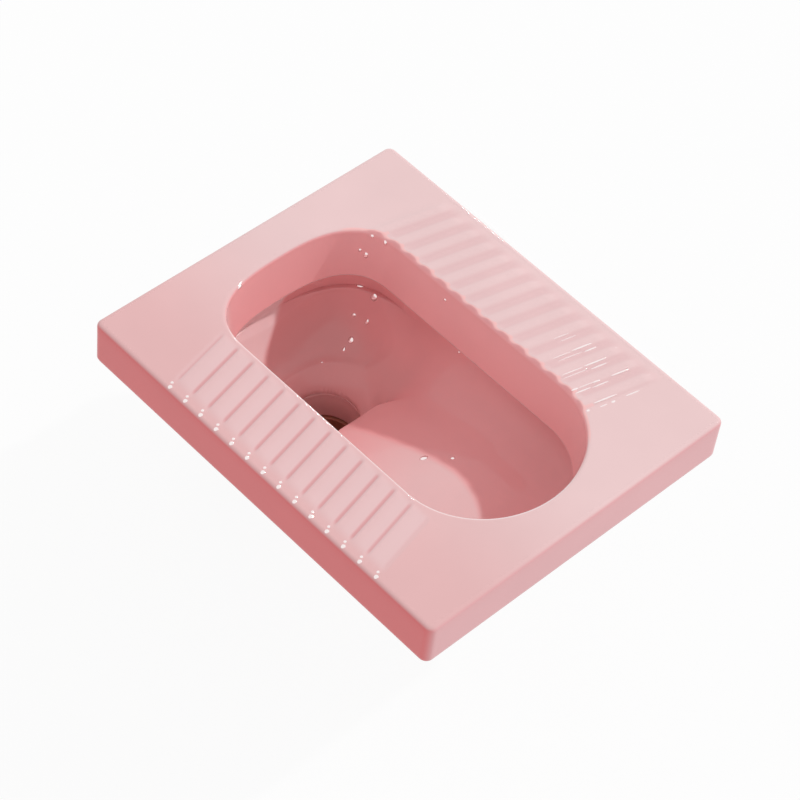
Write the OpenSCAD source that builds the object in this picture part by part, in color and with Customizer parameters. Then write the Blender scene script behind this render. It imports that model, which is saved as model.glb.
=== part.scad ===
// Squat toilet with footrests: deck, flushing rim, bowl, flush inlet and water-seal trap.
// Millimetres. The origin is the middle of the plane that the deck's skirt stands on.
// +X is across the pan, +Y runs to its deep end, +Z is up. Depths are measured down from the deck's top.

/* [Deck] */
// length of the deck, along Y
deck_l = 580; // [500:5:700]
// width of the deck, across X
deck_w = 480; // [440:5:580]
// height of the deck above the floor it is bedded on
deck_h = 62; // [50:1:76]
// thickness of the standing plate
plate_t = 11; // [9:0.5:14]
// thickness of the skirt round the deck
skirt_t = 12; // [9:0.5:14]
// radius of the skirt's upright corners
corner_r = 10; // [8:1:16]
// radius of the deck's top edge
edge_r = 6; // [4:0.5:8]

/* [Mouth] */
// width of the mouth, across X
mouth_w = 250; // [210:5:270]
// length of the mouth, along Y
mouth_l = 473; // [400:1:480]
// how far the mouth's middle stands toward the shallow end
mouth_shift = 4.5; // [0:0.5:6]
// length of the elliptical shallow end
front_r = 111; // [90:1:130]
// length of the blunter deep end
back_r = 85; // [70:1:100]
// radius of the roll between the deck and the lip
roll_r = 7; // [5:0.5:9]

/* [Footrests] */
// ribs on each footrest
rib_count = 14; // [8:1:15]
// distance from rib to rib, along Y
rib_pitch = 27.15; // [24:0.05:29]
// width of one rib
rib_w = 24; // [20:0.5:26]
// how far a rib stands out of the deck
rib_rise = 3; // [2:0.1:4]
// angle of the ribs from straight across
rib_slant = 13; // [0:1:18]
// gap from a rib's outer end to the deck's side
rib_margin = 9; // [7:1:30]

/* [Flushing rim] */
// depth of the lip's lower edge below the deck's top
lip_depth = 75; // [66:1:84]
// thickness of the rim's walls
rim_t = 10; // [8:0.5:12]
// how far the lip leans inward on its way down
lip_lean = 7; // [3:0.5:9]
// clear width of the channel at its floor
channel_w = 18; // [14:0.5:22]
// extra channel width at the deep end, over the inlet
channel_extra = 12; // [8:0.5:12]
// radius of one flush hole
flush_hole_r = 3.2; // [2.5:0.1:3.6]

/* [Bowl] */
// thickness of the bowl's wall
bowl_t = 11; // [9:0.5:13]
// how far the bowl's wall stands back from the mouth's outline
setback = 12; // [11:0.5:13]
// depth at which the tray's wall starts to curve in
tray_upright = 95; // [90:1:100]
// depth of the tray's floor at the shallow end
tray_shallow = 120; // [112:1:128]
// depth of the tray's floor at the step
tray_deep = 156; // [145:1:168]
// place of the step between tray and sump, along Y
step_y = 74; // [55:1:80]
// depth at which the sump's wall starts to curve in
sump_upright = 112; // [106:1:118]
// depth of the sump
sump_deep = 205; // [196:1:214]

/* [Outlet and trap] */
// gap between the step and the outlet's bore
outlet_gap = 7; // [4:1:12]
// radius of the outlet's bore
outlet_r = 43; // [38:0.5:51.5]
// depth of the outlet spigot's end
spigot_depth = 250; // [244:1:262]
// outer radius of the trap's pipe
pipe_r = 45; // [42:0.5:54]
// wall of the trap's pipe
pipe_t = 5; // [3.5:0.5:6]
// radius of the trap's U-bend
bend_r = 60; // [56:1:70]
// how far beyond the trap's cup its outlet spigot runs straight
cup_clear = 0.7; // [0.5:0.1:4]
// depth of water that the trap holds as a seal
seal_depth = 50; // [45:1:60]
// length of the trap's outlet spigot
arm_l = 50; // [40:1:60]
// bore of the access eye
eye_r = 27; // [22:0.5:28]

/* [Flush inlet] */
// outer radius of the inlet spigot
horn_r = 20; // [18:0.5:24]
// bore of the inlet spigot
horn_bore_r = 14; // [12:0.5:15]
// radius of the flush pipe that the connector takes
flush_pipe_r = 16; // [12.5:0.5:16]
// thickness of the rubber connector
rubber_t = 4.5; // [3:0.5:5]

/* [Hidden] */

glaze_rose = [0.86, 0.62, 0.63];
rubber_black = [0.10, 0.10, 0.11];
steel_bright = [0.78, 0.79, 0.80];
pipe_terracotta = [0.68, 0.43, 0.35];
plug_white = [0.90, 0.90, 0.88];

outlet_y = step_y + outlet_gap + outlet_r;
over = 1;         // how far a cutter reaches past what it cuts
fit_gap = 0.1;    // clearance of a part that is pushed in by hand
quarter_steps = 10;
round_fn = 64;

// Mouth.
mouth_front = -mouth_l / 2 - mouth_shift;
mouth_back = mouth_l / 2 - mouth_shift;
blunt = 2.7;      // exponent of the deep end: 2 is an ellipse, more is squarer
arc_follow = 0.9; // how much of an offset the end arcs take up
plate_low = deck_h - plate_t;

// Half the outline, from the shallow end's middle to the deep end's middle.
function half_outline(off, back) = concat(
    [for (i = [0:quarter_steps]) let (
        t = 90 * i / quarter_steps,
        r = front_r + arc_follow * off)
        [(mouth_w / 2 + off) * sin(t), mouth_front - off + r - r * cos(t)]],
    [for (i = [0:quarter_steps]) let (
        t = 90 * i / quarter_steps,
        r = back_r + arc_follow * off + back)
        [(mouth_w / 2 + off) * pow(max(cos(t), 0), 2 / blunt),
            mouth_back + off + back - r + r * pow(sin(t), 2 / blunt)]]);

// The whole outline, moved out by off, and by back more at the deep end.
function outline(off, back = 0) = let (half = half_outline(off, back), n = len(half)) concat(
    half,
    [for (i = [n - 2:-1:1]) [-half[i].x, half[i].y]]);

// A closed solid through a list of rings, lowest first, each a list of points at one height.
module stack(layers) {
    n = len(layers[0]);
    m = len(layers);
    points = [for (l = layers) for (p = l) p];
    faces = concat(
        [[for (i = [0:n - 1]) i]],
        [for (k = [0:m - 2]) for (i = [0:n - 1]) let (j = (i + 1) % n)
            [k * n + i, (k + 1) * n + i, (k + 1) * n + j]],
        [for (k = [0:m - 2]) for (i = [0:n - 1]) let (j = (i + 1) % n)
            [k * n + i, (k + 1) * n + j, k * n + j]],
        [[for (i = [n - 1:-1:0]) (m - 1) * n + i]]);
    polyhedron(points = points, faces = faces, convexity = 6);
}

// The mouth's outline at one height, as a ring for stack().
function ring(off, z, back = 0) = [for (p = outline(off, back)) [p.x, p.y, z]];

module prism(off, z0, z1, back = 0)
    stack([ring(off, z0, back), ring(off, z1, back)]);

// A fired casting has one unbroken skin, so its pieces are joined as one mesh.
module casting()
    resize([0, 0, 0])
        children();

// ---- Deck ----
corner_steps = 5;
function plan(inset) = [
    for (c = [[1, 1, 0], [-1, 1, 90], [-1, -1, 180], [1, -1, 270]])
        for (i = [0:corner_steps]) let (
            a = c[2] + 90 * i / corner_steps,
            r = max(corner_r - inset, 2))
            [c[0] * (deck_w / 2 - inset - r) + r * cos(a), c[1] * (deck_l / 2 - inset - r) + r * sin(a)]];

function plan_ring(inset, z) = [for (p = plan(inset)) [p.x, p.y, z]];

edge_turn = 22.5;
foot_r = 2;       // height of the bare foot under the glazed skirt
foot_inset = 1;   // how far the foot stands in from the skirt
module slab()
    stack(concat(
        [plan_ring(0, foot_r)],
        [for (a = [0:edge_turn:90]) plan_ring(edge_r * (1 - cos(a)), deck_h - edge_r + edge_r * sin(a))]));

rib_sink = 2;     // how far a rib's middle is sunk into the deck
rib_spread = rib_w / 2 / sqrt(1 - pow(rib_sink / (rib_rise + rib_sink), 2));
rib_mid_y = 5.5;  // middle of the row of ribs, where they meet the mouth
rib_in_x = mouth_w / 2 - rib_w / 2;
rib_out_x = deck_w / 2 - rib_margin - rib_w / 2;

rib_turns = 6;    // facets across a rib
rib_end_turns = 4; // facets along each rounded end
rib_tip = 0.04;   // share of the width left at the very tip

// One rib, lying from its inner end a to its outer end b: a row of half-ellipse sections, closed below.
module rib(a, b) {
    run = norm(b - a);
    along = (b - a) / run;
    across = [-along.y, along.x];
    stations = concat(
        [for (i = [0:rib_end_turns]) let (t = 90 * i / rib_end_turns)
            [-rib_spread * cos(t), max(sin(t), rib_tip)]],
        [for (i = [0:rib_end_turns]) let (t = 90 * i / rib_end_turns)
            [run + rib_spread * sin(t), max(cos(t), rib_tip)]]);
    n = len(stations);
    m = rib_turns + 1;
    points = [for (s = stations) for (i = [0:rib_turns]) let (
        t = 180 * i / rib_turns,
        q = a + s[0] * along + rib_spread * s[1] * cos(t) * across,
        up = i == 0 || i == rib_turns ? 0 : (rib_rise + rib_sink) * s[1] * sin(t))
        [q.x, q.y, deck_h - rib_sink + up]];
    faces = concat(
        [for (k = [0:n - 2]) for (i = [0:m - 2])
            [k * m + i, (k + 1) * m + i, (k + 1) * m + i + 1]],
        [for (k = [0:n - 2]) for (i = [0:m - 2])
            [k * m + i, (k + 1) * m + i + 1, k * m + i + 1]],
        [for (k = [0:n - 2]) [k * m + m - 1, (k + 1) * m + m - 1, (k + 1) * m]],
        [for (k = [0:n - 2]) [k * m + m - 1, (k + 1) * m, k * m]],
        [[for (i = [0:m - 1]) i]],
        [[for (i = [m - 1:-1:0]) (n - 1) * m + i]]);
    polyhedron(points = points, faces = faces, convexity = 2);
}

module ribs()
    for (side = [-1, 1])
        for (i = [0:rib_count - 1]) {
            y = rib_mid_y + (i - (rib_count - 1) / 2) * rib_pitch;
            drop = (rib_out_x - mouth_w / 2) * tan(rib_slant);
            rise = (mouth_w / 2 - rib_in_x) * tan(rib_slant);
            rib([side * rib_in_x, y + rise], [side * rib_out_x, y - drop]);
        }

roll_turn = 22.5;
module mouth_cut()
    stack(concat(
        [ring(0, plate_low - over)],
        [for (a = [0:roll_turn:90]) ring(roll_r * (1 - cos(a)), deck_h - roll_r + roll_r * sin(a))],
        [ring(roll_r + rib_rise, deck_h + rib_rise + over)]));

module deck()
    color(glaze_rose)
        union() {
            // the skirt's standing edge is a true flat ring
            linear_extrude(foot_r)
                difference() {
                    polygon(plan(foot_inset));
                    polygon(plan(skirt_t));
                }
            casting()
                difference() {
                    union() {
                        slab();
                        ribs();
                    }
                    mouth_cut();
                    stack([plan_ring(skirt_t, foot_r - over), plan_ring(skirt_t, plate_low)]);
                }
        }

// ---- Flushing rim: lip, channel floor with holes, outer wall ----
lip_low = deck_h - lip_depth;
channel_floor = lip_low + rim_t + 1;
lip_back = rim_t - lip_lean + 1;          // back of the lip at the channel's floor
lip_back_top = rim_t - 0.2;               // back of the lip under the deck
channel_out = lip_back + channel_w;       // inner face of the outer wall
outer_wall = rim_t - 1;
lip_round = 4;
hole_off = (lip_back + setback) / 2;
side_holes = 9;
end_holes = 3;
front_hole_turn = 20;                     // degrees from hole to hole round the shallow end
back_hole_step = 26;                      // across X, from hole to hole at the deep end
slot_w = 44;                              // width of the way down to the inlet
slot_in = setback + bowl_t + 1;           // the slot lies outside the bowl's wall
slot_out = channel_out + channel_extra;
slot_l = slot_out - slot_in - 0.5;        // the slot ends 0.5 mm inside the outer wall

module flush_hole(x, y)
    translate([x, y, lip_low - over])
        cylinder(r = flush_hole_r, h = channel_floor - lip_low + 2 * over, $fn = 14);

// y of the deep end's arc for a point at x
function back_arc_y(x, off) = let (r = back_r + arc_follow * off)
    mouth_back + off - r + r * pow(1 - pow(abs(x) / (mouth_w / 2 + off), blunt), 1 / blunt);

module flush_holes() {
    y0 = mouth_front + front_r;
    y1 = mouth_back - back_r;
    for (side = [-1, 1])
        for (i = [0:side_holes - 1])
            flush_hole(side * (mouth_w / 2 + hole_off), y0 + (y1 - y0) * i / (side_holes - 1));
    for (i = [-end_holes:end_holes]) {
        t = front_hole_turn * i;
        r = front_r + arc_follow * hole_off;
        flush_hole((mouth_w / 2 + hole_off) * sin(t), mouth_front - hole_off + r - r * cos(t));
        x = back_hole_step * i;
        flush_hole(x, back_arc_y(x, hole_off));
    }
}

module rim()
    color(glaze_rose)
        casting()
            difference() {
                prism(channel_out + outer_wall, lip_low, plate_low, channel_extra);
                stack([
                    ring(-lip_lean + lip_round + over, lip_low - over),
                    ring(-lip_lean + lip_round * 0.4, lip_low + lip_round * 0.3),
                    ring(-lip_lean, lip_low + lip_round),
                    ring(0, plate_low),
                    ring(0, plate_low + over)]);
                difference() {
                    prism(channel_out, channel_floor, plate_low + over, channel_extra);
                    stack([
                        ring(lip_back, channel_floor - over),
                        ring(lip_back_top, plate_low + 2 * over)]);
                }
                flush_holes();
                translate([-slot_w / 2, mouth_back + slot_in, lip_low - over])
                    cube([slot_w, slot_l, channel_floor - lip_low + 2 * over]);
            }

// ---- Bowl: shallow tray, step, sump, outlet spigot ----
front_c = mouth_front + front_r;
back_c = mouth_back - back_r;
tray_flat = 0.38;   // share of the half width that is floor
tray_curve = 2.6;
tray_run = 164;     // the floor falls over this length before the step
sump_curve = 2.4;
rings = [1, 0.975, 0.93, 0.86, 0.77, 0.66, 0.53, 0.39, 0.22, 0.04];

function spine(p) = [0, min(max(p.y, front_c), back_c)];
function tray_floor(y) = tray_shallow
    + (tray_deep - tray_shallow) * pow(min(max((y - step_y + tray_run) / tray_run, 0), 1.4), 1.5);
function tray_depth(r, y) = tray_upright
    + (tray_floor(y) - tray_upright) * (1 - pow(max(0, (r - tray_flat) / (1 - tray_flat)), tray_curve));
function sump_depth(x, y, off) = let (
    u = abs(x) / (mouth_w / 2 + off),
    v = max(0, y - outlet_y) / (mouth_back + off - outlet_y),
    r = pow(pow(u, sump_curve) + pow(v, sump_curve), 1 / sump_curve))
    sump_deep - (sump_deep - sump_upright) * min(r * r, 1);

// A closed loft: an upright wall from z_top down, then rings that run in to the spine.
module bowl_loft(off, extra, z_top, sump) {
    base = outline(off);
    n = len(base);
    m = len(rings);
    points = concat(
        [for (p = base) [p.x, p.y, z_top]],
        [for (r = rings) for (p = base) let (
            s = spine(p),
            q = s + r * (p - s),
            d = sump ? sump_depth(q.x, q.y, off) : tray_depth(r, q.y))
            [q.x, q.y, deck_h - d - extra]]);
    faces = concat(
        [[for (i = [n - 1:-1:0]) i]],
        [for (k = [0:m - 1]) for (i = [0:n - 1]) let (j = (i + 1) % n)
            [k * n + i, (k + 1) * n + j, (k + 1) * n + i]],
        [for (k = [0:m - 1]) for (i = [0:n - 1]) let (j = (i + 1) % n)
            [k * n + i, k * n + j, (k + 1) * n + j]],
        [[m * n, m * n + 1, m * n + n - 1]],
        [for (i = [1:n / 2 - 2]) [m * n + i, m * n + n - i - 1, m * n + n - i]],
        [for (i = [1:n / 2 - 2]) [m * n + i, m * n + i + 1, m * n + n - i - 1]],
        [[m * n + n / 2 - 1, m * n + n / 2, m * n + n / 2 + 1]]);
    polyhedron(points = points, faces = faces, convexity = 6);
}

module beyond_step(y)
    translate([-deck_w, y, deck_h - 2 * spigot_depth])
        cube([2 * deck_w, deck_l, 2 * spigot_depth]);

module bowl()
    color(glaze_rose)
        casting()
            difference() {
                union() {
                    difference() {
                        bowl_loft(setback + bowl_t, bowl_t, lip_low, false);
                        beyond_step(step_y);
                    }
                    intersection() {
                        bowl_loft(setback + bowl_t, bowl_t, lip_low, true);
                        beyond_step(step_y - bowl_t);
                    }
                    translate([0, outlet_y, deck_h - spigot_depth])
                        cylinder(r = outlet_r + spigot_t, h = spigot_depth - sump_deep, $fn = round_fn);
                }
                difference() {
                    bowl_loft(setback, 0, lip_low + over, false);
                    beyond_step(step_y + step_lap);
                }
                intersection() {
                    bowl_loft(setback, 0, lip_low + over, true);
                    beyond_step(step_y);
                }
                translate([0, outlet_y, deck_h - spigot_depth - over])
                    cylinder(r = outlet_r, h = spigot_depth - sump_deep + 3 * bowl_t, $fn = round_fn);
            }

spigot_t = 8;
step_lap = 0.5;     // the two hollows overlap by this much behind the step
spigot_r = outlet_r + spigot_t;

// ---- Flush inlet ----
horn_wall = 7;
cast_gap = 0.3;     // between the chamber and the bowl
horn_l = 30;        // length of the spigot
horn_in_y = mouth_back + setback + bowl_t + cast_gap;
horn_out_y = mouth_back + slot_out + rim_t;
horn_under = 9;     // the spigot's top lies this far below the rim
horn_floor = 8;     // the chamber reaches this far below the spigot
horn_z = lip_low - horn_under - horn_r;
horn_low = horn_z - horn_r - horn_floor;
horn_end_y = horn_out_y + horn_l;

module inlet_horn()
    color(glaze_rose)
        difference() {
            union() {
                translate([-slot_w / 2 - horn_wall, horn_in_y, horn_low])
                    cube([slot_w + 2 * horn_wall, horn_out_y - horn_in_y, lip_low - horn_low]);
                translate([0, horn_out_y - over, horn_z])
                    rotate([-90, 0, 0])
                        cylinder(r = horn_r, h = horn_end_y - horn_out_y + over, $fn = round_fn);
            }
            translate([-slot_w / 2, horn_in_y - over, horn_low + horn_wall])
                cube([slot_w, horn_out_y - horn_in_y + over - horn_wall, lip_low - horn_low]);
            translate([0, horn_out_y - horn_wall - over, horn_z])
                rotate([-90, 0, 0])
                    cylinder(r = horn_bore_r, h = horn_end_y, $fn = round_fn);
        }

sleeve_l = 22;
cone_l = 12;
cone_neck_l = 12;
cone_y = horn_end_y - sleeve_l;
sleeve_r = horn_r + fit_gap + rubber_t;
neck_r = flush_pipe_r + rubber_t;

module inlet_cone()
    color(rubber_black)
        translate([0, cone_y, horn_z])
            rotate([-90, 0, 0])
                rotate_extrude($fn = round_fn)
                    polygon([
                        [horn_r + fit_gap, 0],
                        [sleeve_r, 0],
                        [sleeve_r, sleeve_l],
                        [neck_r, sleeve_l + cone_l],
                        [neck_r, sleeve_l + cone_l + cone_neck_l],
                        [flush_pipe_r, sleeve_l + cone_l + cone_neck_l],
                        [flush_pipe_r, sleeve_l + fit_gap],
                        [horn_r + fit_gap, sleeve_l + fit_gap]]);

band_t = 0.8;
band_w = 9;
band_in = 6;        // the band stands this far in from the sleeve's end
band_y = cone_y + band_in;
house_l = 15;
house_h = 8;
screw_r = 2.6;
screw_head_r = 3.8;
screw_out = 2;      // how far the shank passes its housing
screw_head_h = 5;
screw_neck = 0.3;   // the shank is this much thinner under the head
slot_across = 1;    // width of the screwdriver slot
slot_deep = 1.4;
screw_end = house_l / 2 + fit_gap + screw_head_h;
screw_z = sleeve_r + band_t + house_h / 2;

module clip_band()
    color(steel_bright)
        translate([0, band_y, horn_z])
            rotate([-90, 0, 0])
                difference() {
                    union() {
                        cylinder(r = sleeve_r + band_t, h = band_w, $fn = round_fn);
                        translate([-house_l / 2, sleeve_r, 0])
                            cube([house_l, band_t + house_h, band_w]);
                    }
                    translate([0, 0, -over])
                        cylinder(r = sleeve_r, h = band_w + 2 * over, $fn = round_fn);
                    translate([-house_l / 2 - over, screw_z, band_w / 2])
                        rotate([0, 90, 0])
                            cylinder(r = screw_r + fit_gap, h = house_l + 2 * over, $fn = round_fn);
                }

module clip_screw()
    color(steel_bright)
        translate([0, band_y + band_w / 2, horn_z - screw_z])
            rotate([0, 90, 0])
                difference() {
                    union() {
                        translate([0, 0, -house_l / 2 - screw_out])
                            cylinder(r = screw_r, h = house_l + screw_out, $fn = round_fn);
                        translate([0, 0, house_l / 2 + fit_gap])
                            cylinder(r = screw_head_r, h = screw_head_h, $fn = 6);
                        translate([0, 0, house_l / 2 - over])
                            cylinder(r = screw_r - screw_neck, h = over + screw_head_h / 2, $fn = round_fn);
                    }
                    translate([-screw_head_r, -slot_across / 2, screw_end - slot_deep])
                        cube([2 * screw_head_r, slot_across, slot_deep + over]);
                }

// ---- Trap: a U-bend that seals on the bowl's spigot, and an outlet elbow cemented into it ----
bore_r = pipe_r - pipe_t;
socket_gap = 3;
socket_r = spigot_r + socket_gap;
socket_up = 24;     // how far the socket reaches up round the spigot
socket_top = deck_h - spigot_depth + socket_up;
socket_under = 3;   // gap between the spigot's end and the socket's floor
socket_floor = deck_h - spigot_depth - socket_under;
taper_l = 14;
taper_z = socket_floor - pipe_t - taper_l;
arm_clear = 15;     // least gap between the outlet spigot and the clip's screw above it
arm_high = horn_z - screw_z - screw_head_r - arm_clear - pipe_r;
bend_z = min(taper_z, arm_high - 2 * bore_r - seal_depth + bend_r);
leg_drop = taper_z - bend_z;
cement_gap = 0.3;   // room for solvent cement round the elbow's lower end
cup_r = pipe_r + cement_gap;
elbow_r = cup_r + pipe_t + cup_clear;
leg_y = outlet_y + 2 * bend_r;
dip_z = bend_z - bend_r + bore_r;
arm_z = dip_z + seal_depth + bore_r;
elbow_z = arm_z - elbow_r;
arm_y = leg_y + elbow_r;
cup_below = 1;      // the cup ends this far below the elbow's bend
cup_l = elbow_z - bend_z - pipe_t - cup_below;
eye_t = 4.5;
plug_brim = 2;      // how far the plug's flange passes the eye's wall
eye_clear = 1;      // the flange stays this far short of the straight spigot
eye_back = eye_r + eye_t + plug_brim + eye_clear;
eye_y = arm_y - eye_back;
eye_z = elbow_z + sqrt(elbow_r * elbow_r - eye_back * eye_back);
eye_out = 24;       // how far the eye stands out of the pipe
eye_l = pipe_r + eye_out;

// Part of a bend in the YZ plane, starting at an angle from +Y.
module bend(turn_r, r, from, turn)
    rotate([90, 0, 90])
        rotate([0, 0, from])
            rotate_extrude(angle = turn, $fn = round_fn)
                translate([turn_r, 0])
                    circle(r = r, $fn = round_fn);

// The half turn is drawn as two quarters, which is how the exact solid builds.
module u_bend(r)
    translate([0, outlet_y + bend_r, bend_z]) {
        bend(bend_r, r, 180, 90);
        bend(bend_r, r, 270, 90);
    }

module trap_bend()
    color(pipe_terracotta)
        difference() {
            union() {
                translate([0, outlet_y, bend_z])
                    rotate_extrude($fn = round_fn)
                        polygon(concat(
                            [[0, 0], [pipe_r, 0]],
                            leg_drop > 0 ? [[pipe_r, leg_drop]] : [],
                            [[socket_r + pipe_t, leg_drop + taper_l],
                            [socket_r + pipe_t, socket_top - bend_z],
                            [0, socket_top - bend_z]]));
                u_bend(pipe_r);
                translate([0, leg_y, bend_z])
                    cylinder(r1 = pipe_r, r2 = cup_r + pipe_t, h = pipe_t, $fn = round_fn);
                translate([0, leg_y, bend_z + pipe_t])
                    cylinder(r = cup_r + pipe_t, h = cup_l, $fn = round_fn);
            }
            translate([0, outlet_y, bend_z])
                rotate_extrude($fn = round_fn)
                    polygon([
                        [0, -0.001],
                        [bore_r, -0.001],
                        [bore_r, leg_drop + taper_l + pipe_t],
                        [socket_r, leg_drop + taper_l + pipe_t],
                        [socket_r, socket_top - bend_z + over],
                        [0, socket_top - bend_z + over]]);
            u_bend(bore_r);
            translate([0, leg_y, bend_z])
                cylinder(r = bore_r, h = pipe_t + over, $fn = round_fn);
            translate([0, leg_y, bend_z + pipe_t])
                cylinder(r = cup_r, h = cup_l + over, $fn = round_fn);
        }

module elbow_way(r, grow) {
    translate([0, leg_y, bend_z + pipe_t - grow])
        cylinder(r = r, h = elbow_z - bend_z - pipe_t + grow, $fn = round_fn);
    translate([0, arm_y, elbow_z])
        bend(elbow_r, r, 90, 90);
    translate([0, arm_y, arm_z])
        rotate([-90, 0, 0])
            cylinder(r = r, h = arm_l + grow, $fn = round_fn);
}

module trap_elbow()
    color(pipe_terracotta)
        difference() {
            union() {
                elbow_way(pipe_r, 0);
                translate([0, eye_y, eye_z])
                    rotate([0, 90, 0])
                        cylinder(r = eye_r + eye_t, h = eye_l, $fn = round_fn);
            }
            elbow_way(bore_r, over);
            translate([0, eye_y, eye_z])
                rotate([0, 90, 0])
                    cylinder(r = eye_r, h = eye_l + over, $fn = round_fn);
        }

seal_gap = 0.05;
seal_in = 18;       // how deep the seal sits in the socket
seal_fin = 0.6;     // height of the seal's two fins
fin_z = [3, 13];    // places of the fins
fin_half = 3;       // half the width of one fin
seal_brim = 4;      // the seal's brim over the socket's edge
seal_brim_t = 2.8;
module spigot_seal()
    color(rubber_black)
        translate([0, outlet_y, socket_top - seal_in])
            rotate_extrude($fn = round_fn)
                polygon([
                    [spigot_r + seal_gap, 0],
                    [socket_r - seal_fin, 0],
                    [socket_r - seal_gap, fin_z[0]],
                    [socket_r - seal_fin, fin_z[0] + fin_half],
                    [socket_r - seal_fin, fin_z[1] - fin_half],
                    [socket_r - seal_gap, fin_z[1]],
                    [socket_r - seal_fin, fin_z[1] + fin_half],
                    [socket_r - seal_fin, seal_in + seal_gap],
                    [socket_r + seal_brim, seal_in + seal_gap],
                    [socket_r + seal_brim, seal_in + seal_brim_t],
                    [spigot_r + seal_gap, seal_in + seal_brim_t]]);

plug_in = 16;       // how far the plug goes into the eye
plug_t = 4.5;       // its wall
plug_flange_t = 5;
plug_gap = 0.06;    // the plug is a push fit in the eye
grip_t = 8;
grip_h = 9;
grip_back = 4;      // how far the grip stands in from the eye's bore
ring_h = 3;
ring_deep = 2;
ring_x = 6;         // place of the ring's groove along the plug
ring_gap = 0.02;

module access_plug()
    color(plug_white)
        translate([eye_l, eye_y, eye_z])
            rotate([0, 90, 0])
                difference() {
                    union() {
                        translate([0, 0, -plug_in])
                            cylinder(r = eye_r - plug_gap, h = plug_in + plug_flange_t, $fn = round_fn);
                        cylinder(r = eye_r + eye_t + plug_brim, h = plug_flange_t, $fn = round_fn);
                        translate([-grip_t / 2, grip_back - eye_r, 0])
                            cube([grip_t, 2 * (eye_r - grip_back), plug_flange_t + grip_h]);
                    }
                    translate([0, 0, -plug_in - over])
                        cylinder(r = eye_r - plug_t, h = plug_in + over, $fn = round_fn);
                    translate([0, 0, -plug_in + ring_x])
                        rotate_extrude($fn = round_fn)
                            translate([eye_r - ring_deep, 0])
                                square([ring_deep + over, ring_h]);
                }

module plug_ring()
    color(rubber_black)
        translate([eye_l, eye_y, eye_z])
            rotate([0, 90, 0])
                translate([0, 0, -plug_in + ring_x + fit_gap])
                    rotate_extrude($fn = round_fn)
                        translate([eye_r - ring_deep + ring_gap, 0])
                            square([ring_deep - plug_gap, ring_h - 2 * fit_gap]);

deck();
rim();
bowl();
inlet_horn();
inlet_cone();
clip_band();
clip_screw();
trap_bend();
trap_elbow();
spigot_seal();
access_plug();
plug_ring();
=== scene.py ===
import math

import bmesh
import bpy
import numpy as np
from mathutils import Matrix, Vector


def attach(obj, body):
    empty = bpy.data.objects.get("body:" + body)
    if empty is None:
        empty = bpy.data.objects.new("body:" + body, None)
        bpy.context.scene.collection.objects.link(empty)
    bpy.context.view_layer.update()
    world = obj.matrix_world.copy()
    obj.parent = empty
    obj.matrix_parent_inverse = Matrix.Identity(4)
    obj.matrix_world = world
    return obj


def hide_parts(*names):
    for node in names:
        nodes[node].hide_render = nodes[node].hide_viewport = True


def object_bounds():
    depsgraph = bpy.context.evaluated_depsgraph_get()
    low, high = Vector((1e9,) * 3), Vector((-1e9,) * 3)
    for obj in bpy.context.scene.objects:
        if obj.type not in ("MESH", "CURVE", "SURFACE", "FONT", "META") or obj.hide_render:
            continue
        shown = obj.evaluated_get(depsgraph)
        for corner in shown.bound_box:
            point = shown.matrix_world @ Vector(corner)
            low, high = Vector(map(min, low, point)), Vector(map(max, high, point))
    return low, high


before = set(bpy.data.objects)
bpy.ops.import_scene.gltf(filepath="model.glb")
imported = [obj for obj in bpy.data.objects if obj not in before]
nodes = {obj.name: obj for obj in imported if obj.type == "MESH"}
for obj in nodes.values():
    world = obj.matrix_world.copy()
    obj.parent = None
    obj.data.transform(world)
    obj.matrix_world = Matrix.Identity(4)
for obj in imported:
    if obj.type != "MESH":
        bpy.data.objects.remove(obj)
cad_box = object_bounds()

MM = 0.001
SHARP, BOWL_SHARP = 40.0, 50.0      # edges over this many degrees stay sharp
KEY_TOWARD = (0.924, -0.406, 1.0)   # way to the key lamp

# ---------------------------------------------------------------- sizes, in millimetres, as in the CAD
DECK_L, DECK_W, DECK_H, PLATE_LOW = 580.0, 480.0, 62.0, 51.0
CORNER_R, INNER_R, EDGE_R, SKIRT_T = 10.0, 4.0, 6.0, 12.0
FOOT_H, FOOT_IN = 2.0, 1.0
MOUTH_HW = 125.0
FRONT_C, FRONT_R, FRONT_N = -130.0, 111.0, 2.0
BACK_C, BACK_R, BACK_N = 147.0, 85.0, 2.7
ROLL_R, ROLL_N = 7.0, 3.0
LIP_LOW, LIP_LEAN, LIP_TOP = -13.0, 7.0, 55.0
SETBACK, BOWL_T = 12.0, 11.0
TRAY_UPRIGHT, TRAY_SHALLOW, TRAY_DEEP, TRAY_RUN = 95.0, 120.0, 156.0, 164.0
TRAY_FLAT, TRAY_CURVE = 0.38, 2.6
STEP_Y, STEP_RUN, FLARE_DEEP = 74.0, 1.2, 9.0
SUMP_UPRIGHT, SUMP_DEEP, SUMP_CURVE = 112.0, 205.0, 2.4
OUTLET_Y, OUTLET_R, SPIGOT_R, SPIGOT_LOW = 124.0, 43.0, 51.0, -188.0
CHANNEL_FLOOR, CHANNEL_W, CHANNEL_EXTRA, RIM_T = -2.0, 18.0, 12.0, 10.0
LIP_BACK = 4.0
FLUSH_R, HOLE_OFF, SIDE_HOLES, END_HOLES, HOLE_TURN, HOLE_STEP = 3.2, 8.0, 9, 3, 20.0, 26.0
SLOT_HW, SLOT_Y = 22.0, (256.0, 265.5)


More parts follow.
